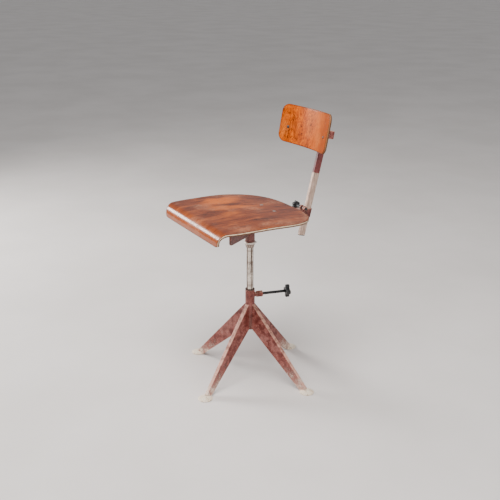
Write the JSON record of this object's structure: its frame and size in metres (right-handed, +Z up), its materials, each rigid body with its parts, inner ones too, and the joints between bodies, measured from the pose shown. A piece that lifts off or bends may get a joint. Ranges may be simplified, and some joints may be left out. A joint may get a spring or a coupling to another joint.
{
  "type": "drafting chair",
  "caption": "Height-adjustable swivel drafting chair with a moulded plywood seat, a curved plywood backrest on a sliding bar, and a splayed folded-steel base.",
  "frame": {"origin": "on the floor, on the axis of the column", "axes": "+Z up; the sitter faces -Y; the sitter's left is +X"},
  "size_m": [0.4716, 0.5455, 0.8629],
  "materials": {
    "leg_paint": "oxide red paint, worn to bare metal low on the legs",
    "foot_steel": "bare domed steel",
    "tube_paint": "oxide red paint, rusty low down",
    "bush_steel": "dark machined steel",
    "clamp_black": "black",
    "column_steel": "bare steel with rust specks",
    "carrier_paint": "oxide red paint",
    "seat_wood": "lacquered reddish brown plywood, worn",
    "backrest_wood": "lacquered orange brown figured plywood",
    "bar_finish": "bare steel below, oxide red paint above",
    "plug_black": "matt black",
    "hardware_steel": "dull zinc",
    "dark_screw": "darkened steel"
  },
  "bodies": {
    "base": {"base_tube": "tube_paint", "clamp_boss": "tube_paint", "lower_bush": "bush_steel", "upper_bush": "bush_steel", "leg_left": "leg_paint", "leg_rear": "leg_paint", "leg_right": "leg_paint", "leg_front": "leg_paint", "foot_left": "foot_steel", "foot_rear": "foot_steel", "foot_right": "foot_steel", "foot_front": "foot_steel"},
    "height_clamp_shoe": {"clamp_shoe": "bush_steel"},
    "height_clamp_screw": {"clamp_screw": "clamp_black", "clamp_knob": "clamp_black"},
    "column": {"column_tube": "column_steel", "column_stop_plug": "bush_steel", "column_collar": "column_steel", "thrust_ring": "column_steel", "ring_set_screw": "dark_screw"},
    "seat": {"swivel_socket": "carrier_paint", "retaining_screw": "hardware_steel", "socket_cap": "carrier_paint", "seat_arm_left": "carrier_paint", "seat_arm_right": "carrier_paint", "seat_spine": "carrier_paint", "seat_cross_plate": "carrier_paint", "bar_strap": "carrier_paint", "bar_clamp_nut": "hardware_steel", "seat_panel": "seat_wood", "seat_bolts": "hardware_steel", "seat_bolt_washers": "hardware_steel", "seat_bolt_nuts": "hardware_steel", "arm_screws": "hardware_steel"},
    "bar_clamp_ring": {"bar_clamp_washer": "hardware_steel"},
    "bar_clamp_screw": {"bar_clamp_screw": "clamp_black", "bar_clamp_knob": "clamp_black"},
    "bar": {"back_bar": "bar_finish", "bar_foot_plug": "plug_black", "bar_top_plug": "plug_black", "pivot_bush": "hardware_steel"},
    "backrest": {"tilt_bracket": "carrier_paint", "backrest_yoke": "carrier_paint", "backrest_panel": "backrest_wood", "backrest_screws": "dark_screw", "backrest_nuts": "hardware_steel", "tilt_bolt": "hardware_steel", "tilt_washers": "hardware_steel", "tilt_nut": "hardware_steel"}
  },
  "joints": [
    {"name": "height_slide", "type": "slide", "parent": "base", "child": "column", "axis": [0, 0, 1], "range_m": [-0.135, 0.018]},
    {"name": "seat_swivel", "type": "hinge", "parent": "column", "child": "seat", "pos_m": [0, 0, 0.5], "axis": [0, 0, 1], "continuous": true},
    {"name": "height_clamp_advance", "type": "slide", "parent": "base", "child": "height_clamp_shoe", "axis": [0.247, 0.969, 0], "range_m": [0, 0.003]},
    {"name": "height_clamp_turn", "type": "hinge", "parent": "height_clamp_shoe", "child": "height_clamp_screw", "pos_m": [0, 0, 0.28], "axis": [0.247, 0.969, 0], "range_deg": [0, 721]},
    {"name": "bar_clamp_advance", "type": "slide", "parent": "seat", "child": "bar_clamp_ring", "axis": [-1, 0, 0], "range_m": [0, 0.0025]},
    {"name": "bar_clamp_turn", "type": "hinge", "parent": "bar_clamp_ring", "child": "bar_clamp_screw", "pos_m": [0, 0.199, 0.543], "axis": [-1, 0, 0], "range_deg": [0, 721]},
    {"name": "bar_slide", "type": "slide", "parent": "seat", "child": "bar", "axis": [0, 0.2425, 0.9701], "range_m": [-0.11, 0.045]},
    {"name": "backrest_tilt", "type": "hinge", "parent": "bar", "child": "backrest", "pos_m": [0, 0.27492, 0.7767], "axis": [1, 0, 0], "range_deg": [-15, 20]}
  ],
  "couplings": [
    {"joint": "height_clamp_turn", "follows": "height_clamp_advance", "rad_per_m": 4188.8},
    {"joint": "bar_clamp_turn", "follows": "bar_clamp_advance", "rad_per_m": 5026.5}
  ]
}
